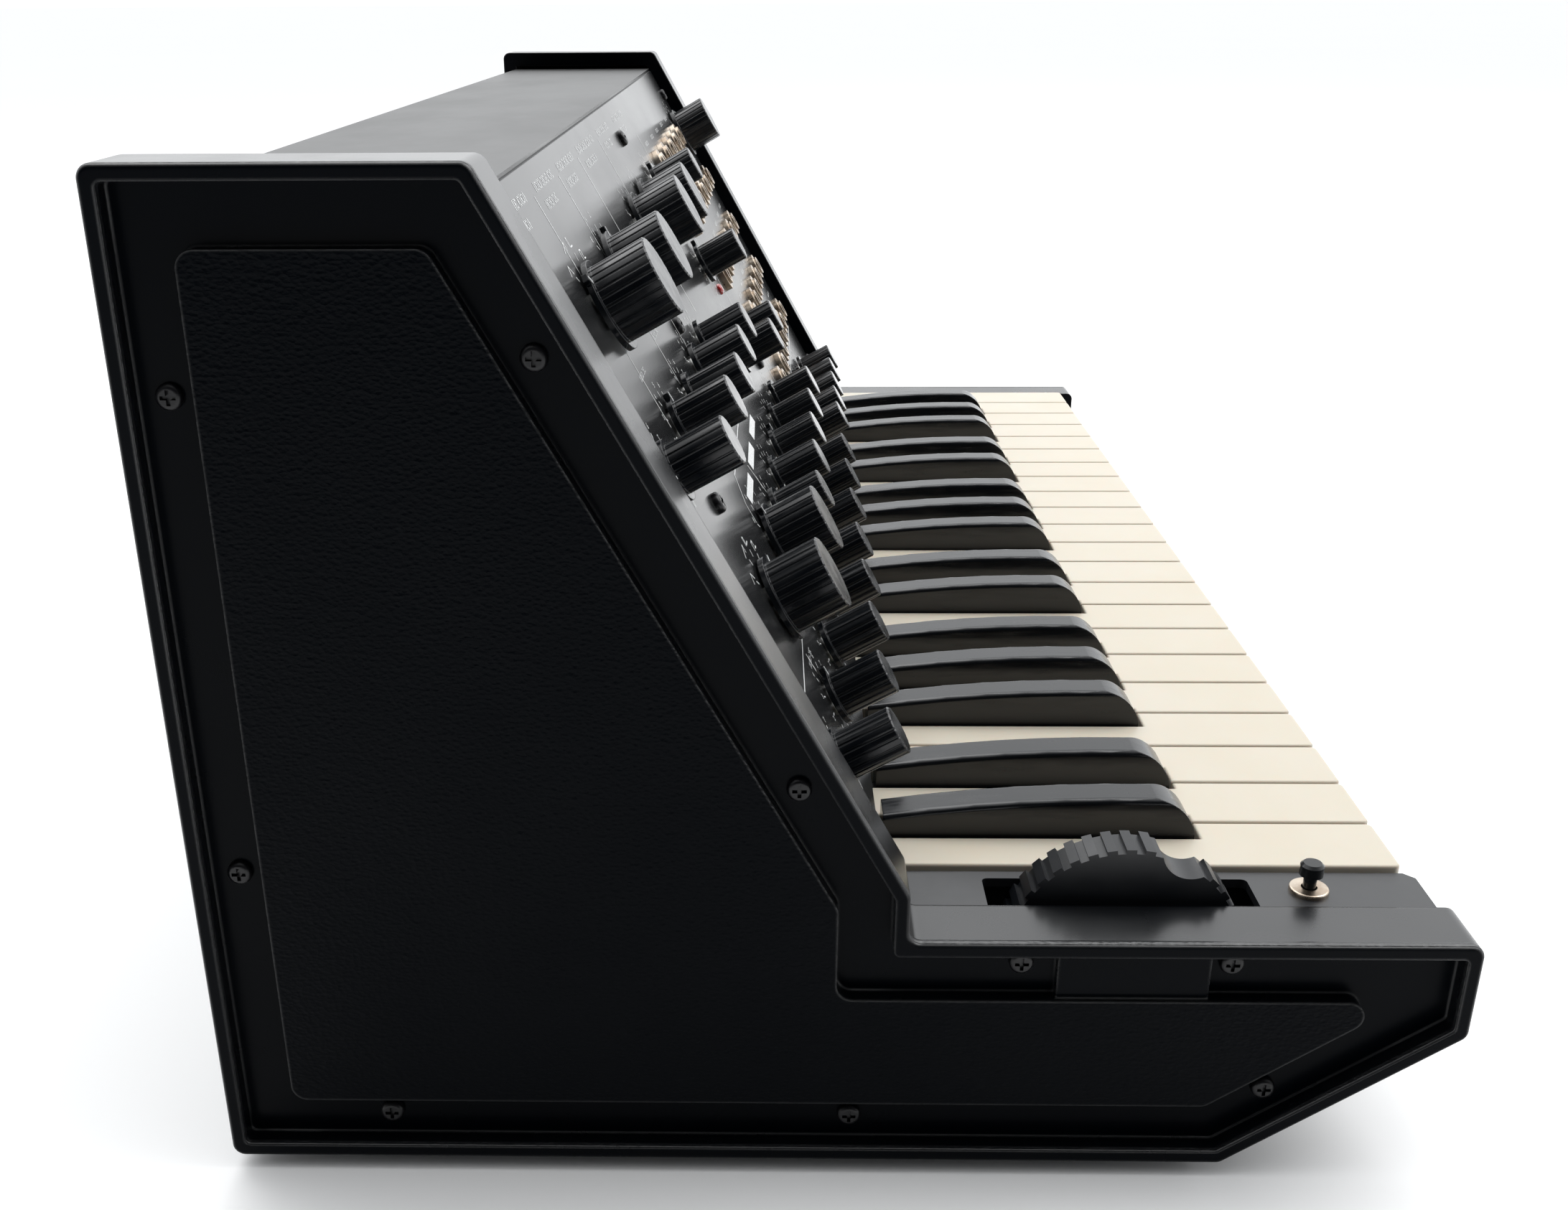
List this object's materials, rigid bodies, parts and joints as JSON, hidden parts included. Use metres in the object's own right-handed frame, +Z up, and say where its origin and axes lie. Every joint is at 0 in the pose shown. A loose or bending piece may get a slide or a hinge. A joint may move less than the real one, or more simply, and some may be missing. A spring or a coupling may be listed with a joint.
{
  "type": "keyboard synthesizer",
  "caption": "Table-top monophonic keyboard synthesizer with an upright panel of knobs and patch sockets, piano-style keys, a control wheel and moulded side cheeks.",
  "frame": {"origin": "on the table, under the middle of the whole instrument's bounding box", "axes": "+X towards the player's right, -Y towards the player, +Z up"},
  "size_m": [0.571, 0.308, 0.249],
  "materials": {
    "cheek_plastic": "black moulded ABS, fine leather grain on the centre field, satin rim",
    "panel_paint": "satin black baked paint with light-grey printed scales",
    "chassis_steel": "semi-matt black paint on steel sheet",
    "plated_steel": "zinc-plated, slightly dull",
    "potentiometer_steel": "zinc-plated pressed steel",
    "nickel": "nickel plate, lightly worn",
    "lamp_lens": "clear red lens",
    "board_laminate": "tan phenolic laminate",
    "housing_plastic": "satin black moulding",
    "wheel_plastic": "satin black, ribbed",
    "button_plastic": "polished black",
    "transformer_iron": "lacquered laminations",
    "gland_plastic": "plain black",
    "foot_rubber": "matt, dusty",
    "black_screw": "black oxide",
    "sharp_key_plastic": "polished black",
    "natural_key_plastic": "warm ivory, slightly yellowed, satin polish",
    "knob_plastic": "semi-gloss black"
  },
  "bodies": {
    "case": {"left_cheek": "cheek_plastic", "right_cheek": "cheek_plastic", "chassis": "chassis_steel", "case_cover": "panel_paint", "control_panel": "panel_paint", "potentiometers": "potentiometer_steel", "jack_sockets": "nickel", "peak_lamp": "lamp_lens", "circuit_board": "board_laminate", "key_frame": "plated_steel", "wheel_housing": "housing_plastic", "button_bush": "nickel", "power_transformer": "transformer_iron", "cord_gland": "gland_plastic", "rubber_feet": "foot_rubber", "screws": "black_screw"},
    "oscillator_1_waveform_knob": {"oscillator_1_waveform_knob": "knob_plastic"},
    "oscillator_1_range_knob": {"oscillator_1_range_knob": "knob_plastic"},
    "highpass_cutoff_knob": {"highpass_cutoff_knob": "knob_plastic"},
    "lowpass_cutoff_knob": {"lowpass_cutoff_knob": "knob_plastic"},
    "modulation_rate_knob": {"modulation_rate_knob": "knob_plastic"},
    "volume_knob": {"volume_knob": "knob_plastic"},
    "pulse_width_knob": {"pulse_width_knob": "knob_plastic"},
    "oscillator_2_pitch_knob": {"oscillator_2_pitch_knob": "knob_plastic"},
    "oscillator_1_level_knob": {"oscillator_1_level_knob": "knob_plastic"},
    "oscillator_2_level_knob": {"oscillator_2_level_knob": "knob_plastic"},
    "filter_peak_knob": {"filter_peak_knob": "knob_plastic"},
    "modulation_waveform_knob": {"modulation_waveform_knob": "knob_plastic"},
    "envelope_1_attack_knob": {"envelope_1_attack_knob": "knob_plastic"},
    "envelope_1_release_knob": {"envelope_1_release_knob": "knob_plastic"},
    "oscillator_2_waveform_knob": {"oscillator_2_waveform_knob": "knob_plastic"},
    "oscillator_2_range_knob": {"oscillator_2_range_knob": "knob_plastic"},
    "envelope_2_hold_knob": {"envelope_2_hold_knob": "knob_plastic"},
    "envelope_2_attack_knob": {"envelope_2_attack_knob": "knob_plastic"},
    "envelope_2_decay_knob": {"envelope_2_decay_knob": "knob_plastic"},
    "envelope_2_sustain_knob": {"envelope_2_sustain_knob": "knob_plastic"},
    "envelope_2_release_knob": {"envelope_2_release_knob": "knob_plastic"},
    "glide_knob": {"glide_knob": "knob_plastic"},
    "master_tune_knob": {"master_tune_knob": "knob_plastic"},
    "pitch_modulation_1_knob": {"pitch_modulation_1_knob": "knob_plastic"},
    "pitch_modulation_2_knob": {"pitch_modulation_2_knob": "knob_plastic"},
    "highpass_modulation_1_knob": {"highpass_modulation_1_knob": "knob_plastic"},
    "highpass_modulation_2_knob": {"highpass_modulation_2_knob": "knob_plastic"},
    "lowpass_modulation_1_knob": {"lowpass_modulation_1_knob": "knob_plastic"},
    "lowpass_modulation_2_knob": {"lowpass_modulation_2_knob": "knob_plastic"},
    "external_level_knob": {"external_level_knob": "knob_plastic"},
    "external_low_cut_knob": {"external_low_cut_knob": "knob_plastic"},
    "external_high_cut_knob": {"external_high_cut_knob": "knob_plastic"},
    "external_voltage_knob": {"external_voltage_knob": "knob_plastic"},
    "external_threshold_knob": {"external_threshold_knob": "knob_plastic"},
    "c_and_f_keys": {"c_and_f_keys": "natural_key_plastic"},
    "d_keys": {"d_keys": "natural_key_plastic"},
    "e_and_b_keys": {"e_and_b_keys": "natural_key_plastic"},
    "g_keys": {"g_keys": "natural_key_plastic"},
    "a_keys": {"a_keys": "natural_key_plastic"},
    "sharp_keys": {"sharp_keys": "sharp_key_plastic"},
    "control_wheel": {"control_wheel": "wheel_plastic"},
    "momentary_button": {"momentary_button": "button_plastic"}
  },
  "joints": [
    {"name": "oscillator_1_waveform_turn", "type": "hinge", "parent": "case", "child": "oscillator_1_waveform_knob", "pos_m": [-0.205, 0.05847, 0.20518], "axis": [0, -0.8737, 0.4865], "range_deg": [-90, 0]},
    {"name": "oscillator_1_range_turn", "type": "hinge", "parent": "case", "child": "oscillator_1_range_knob", "pos_m": [-0.154, 0.05847, 0.20518], "axis": [0, -0.8737, 0.4865], "range_deg": [-30, 60]},
    {"name": "highpass_cutoff_turn", "type": "hinge", "parent": "case", "child": "highpass_cutoff_knob", "pos_m": [-0.063, 0.05847, 0.20518], "axis": [0, -0.8737, 0.4865], "range_deg": [-270, 30]},
    {"name": "lowpass_cutoff_turn", "type": "hinge", "parent": "case", "child": "lowpass_cutoff_knob", "pos_m": [-0.0215, 0.05847, 0.20518], "axis": [0, -0.8737, 0.4865], "range_deg": [-90, 210]},
    {"name": "modulation_rate_turn", "type": "hinge", "parent": "case", "child": "modulation_rate_knob", "pos_m": [0.033, 0.06041, 0.20867], "axis": [0, -0.8737, 0.4865], "range_deg": [-170, 130]},
    {"name": "volume_turn", "type": "hinge", "parent": "case", "child": "volume_knob", "pos_m": [0.24, 0.06138, 0.21042], "axis": [0, -0.8737, 0.4865], "range_deg": [-110, 190]},
    {"name": "pulse_width_turn", "type": "hinge", "parent": "case", "child": "pulse_width_knob", "pos_m": [-0.242, 0.04046, 0.17285], "axis": [0, -0.8737, 0.4865], "range_deg": [-240, 60]},
    {"name": "oscillator_2_pitch_turn", "type": "hinge", "parent": "case", "child": "oscillator_2_pitch_knob", "pos_m": [-0.1995, 0.04046, 0.17285], "axis": [0, -0.8737, 0.4865], "range_deg": [-150, 150]},
    {"name": "oscillator_1_level_turn", "type": "hinge", "parent": "case", "child": "oscillator_1_level_knob", "pos_m": [-0.1575, 0.03876, 0.1698], "axis": [0, -0.8737, 0.4865], "range_deg": [-40, 260]},
    {"name": "oscillator_2_level_turn", "type": "hinge", "parent": "case", "child": "oscillator_2_level_knob", "pos_m": [-0.117, 0.03876, 0.1698], "axis": [0, -0.8737, 0.4865], "range_deg": [-75, 225]},
    {"name": "filter_peak_turn", "type": "hinge", "parent": "case", "child": "filter_peak_knob", "pos_m": [-0.08, 0.03876, 0.1698], "axis": [0, -0.8737, 0.4865], "range_deg": [-280, 20]},
    {"name": "modulation_waveform_turn", "type": "hinge", "parent": "case", "child": "modulation_waveform_knob", "pos_m": [0.033, 0.04338, 0.1781], "axis": [0, -0.8737, 0.4865], "range_deg": [-150, 150]},
    {"name": "envelope_1_attack_turn", "type": "hinge", "parent": "case", "child": "envelope_1_attack_knob", "pos_m": [-0.014, 0.02879, 0.15189], "axis": [0, -0.8737, 0.4865], "range_deg": [-210, 90]},
    {"name": "envelope_1_release_turn", "type": "hinge", "parent": "case", "child": "envelope_1_release_knob", "pos_m": [0.022, 0.02879, 0.15189], "axis": [0, -0.8737, 0.4865], "range_deg": [-130, 170]},
    {"name": "oscillator_2_waveform_turn", "type": "hinge", "parent": "case", "child": "oscillator_2_waveform_knob", "pos_m": [-0.205, 0.01443, 0.12611], "axis": [0, -0.8737, 0.4865], "range_deg": [0, 90]},
    {"name": "oscillator_2_range_turn", "type": "hinge", "parent": "case", "child": "oscillator_2_range_knob", "pos_m": [-0.157, 0.01443, 0.12611], "axis": [0, -0.8737, 0.4865], "range_deg": [-60, 30]},
    {"name": "envelope_2_hold_turn", "type": "hinge", "parent": "case", "child": "envelope_2_hold_knob", "pos_m": [-0.1235, 0.0137, 0.1248], "axis": [0, -0.8737, 0.4865], "range_deg": [-300, 0]},
    {"name": "envelope_2_attack_turn", "type": "hinge", "parent": "case", "child": "envelope_2_attack_knob", "pos_m": [-0.086, 0.0137, 0.1248], "axis": [0, -0.8737, 0.4865], "range_deg": [-250, 50]},
    {"name": "envelope_2_decay_turn", "type": "hinge", "parent": "case", "child": "envelope_2_decay_knob", "pos_m": [-0.0485, 0.0137, 0.1248], "axis": [0, -0.8737, 0.4865], "range_deg": [-140, 160]},
    {"name": "envelope_2_sustain_turn", "type": "hinge", "parent": "case", "child": "envelope_2_sustain_knob", "pos_m": [-0.012, 0.0137, 0.1248], "axis": [0, -0.8737, 0.4865], "range_deg": [-70, 230]},
    {"name": "envelope_2_release_turn", "type": "hinge", "parent": "case", "child": "envelope_2_release_knob", "pos_m": [0.026, 0.0137, 0.1248], "axis": [0, -0.8737, 0.4865], "range_deg": [-190, 110]},
    {"name": "glide_turn", "type": "hinge", "parent": "case", "child": "glide_knob", "pos_m": [-0.245, -0.00113, 0.09816], "axis": [0, -0.8737, 0.4865], "range_deg": [-300, 0]},
    {"name": "master_tune_turn", "type": "hinge", "parent": "case", "child": "master_tune_knob", "pos_m": [-0.2075, -0.00113, 0.09816], "axis": [0, -0.8737, 0.4865], "range_deg": [-150, 150]},
    {"name": "pitch_modulation_1_turn", "type": "hinge", "parent": "case", "child": "pitch_modulation_1_knob", "pos_m": [-0.17, -0.00113, 0.09816], "axis": [0, -0.8737, 0.4865], "range_deg": [-300, 0]},
    {"name": "pitch_modulation_2_turn", "type": "hinge", "parent": "case", "child": "pitch_modulation_2_knob", "pos_m": [-0.1325, -0.00113, 0.09816], "axis": [0, -0.8737, 0.4865], "range_deg": [-285, 15]},
    {"name": "highpass_modulation_1_turn", "type": "hinge", "parent": "case", "child": "highpass_modulation_1_knob", "pos_m": [-0.095, -0.00113, 0.09816], "axis": [0, -0.8737, 0.4865], "range_deg": [-260, 40]},
    {"name": "highpass_modulation_2_turn", "type": "hinge", "parent": "case", "child": "highpass_modulation_2_knob", "pos_m": [-0.055, -0.00113, 0.09816], "axis": [0, -0.8737, 0.4865], "range_deg": [-300, 0]},
    {"name": "lowpass_modulation_1_turn", "type": "hinge", "parent": "case", "child": "lowpass_modulation_1_knob", "pos_m": [-0.016, -0.00113, 0.09816], "axis": [0, -0.8737, 0.4865], "range_deg": [-150, 150]},
    {"name": "lowpass_modulation_2_turn", "type": "hinge", "parent": "case", "child": "lowpass_modulation_2_knob", "pos_m": [0.021, -0.00113, 0.09816], "axis": [0, -0.8737, 0.4865], "range_deg": [-105, 195]},
    {"name": "external_level_turn", "type": "hinge", "parent": "case", "child": "external_level_knob", "pos_m": [0.075, -0.00113, 0.09816], "axis": [0, -0.8737, 0.4865], "range_deg": [-300, 0]},
    {"name": "external_low_cut_turn", "type": "hinge", "parent": "case", "child": "external_low_cut_knob", "pos_m": [0.1045, -0.00113, 0.09816], "axis": [0, -0.8737, 0.4865], "range_deg": [-125, 175]},
    {"name": "external_high_cut_turn", "type": "hinge", "parent": "case", "child": "external_high_cut_knob", "pos_m": [0.134, -0.00113, 0.09816], "axis": [0, -0.8737, 0.4865], "range_deg": [-175, 125]},
    {"name": "external_voltage_turn", "type": "hinge", "parent": "case", "child": "external_voltage_knob", "pos_m": [0.1635, -0.00113, 0.09816], "axis": [0, -0.8737, 0.4865], "range_deg": [-150, 150]},
    {"name": "external_threshold_turn", "type": "hinge", "parent": "case", "child": "external_threshold_knob", "pos_m": [0.193, -0.00113, 0.09816], "axis": [0, -0.8737, 0.4865], "range_deg": [-60, 240]},
    {"name": "c_and_f_keys_press", "type": "hinge", "parent": "case", "child": "c_and_f_keys", "pos_m": [0, 0.04, 0.063], "axis": [1, 0, 0], "range_deg": [0, 3], "stiffness_Nm_per_rad": 5.6, "springref_deg": -8.59},
    {"name": "d_keys_press", "type": "hinge", "parent": "case", "child": "d_keys", "pos_m": [0, 0.04, 0.063], "axis": [1, 0, 0], "range_deg": [0, 3], "stiffness_Nm_per_rad": 2.4, "springref_deg": -8.59},
    {"name": "e_and_b_keys_press", "type": "hinge", "parent": "case", "child": "e_and_b_keys", "pos_m": [0, 0.04, 0.063], "axis": [1, 0, 0], "range_deg": [0, 3], "stiffness_Nm_per_rad": 4.8, "springref_deg": -8.59},
    {"name": "g_keys_press", "type": "hinge", "parent": "case", "child": "g_keys", "pos_m": [0, 0.04, 0.063], "axis": [1, 0, 0], "range_deg": [0, 3], "stiffness_Nm_per_rad": 2.4, "springref_deg": -8.59},
    {"name": "a_keys_press", "type": "hinge", "parent": "case", "child": "a_keys", "pos_m": [0, 0.04, 0.063], "axis": [1, 0, 0], "range_deg": [0, 3], "stiffness_Nm_per_rad": 2.4, "springref_deg": -8.59},
    {"name": "sharp_keys_press", "type": "hinge", "parent": "case", "child": "sharp_keys", "pos_m": [0, 0.04, 0.063], "axis": [1, 0, 0], "range_deg": [0, 3], "stiffness_Nm_per_rad": 12, "springref_deg": -8.59},
    {"name": "control_wheel_turn", "type": "hinge", "parent": "case", "child": "control_wheel", "pos_m": [-0.2604, -0.073, 0.053], "axis": [1, 0, 0], "range_deg": [-77, 23]},
    {"name": "momentary_button_press", "type": "slide", "parent": "case", "child": "momentary_button", "axis": [0, 0, -1], "range_m": [0, 0.0025], "stiffness_N_per_m": 300, "springref_m": -0.004}
  ]
}
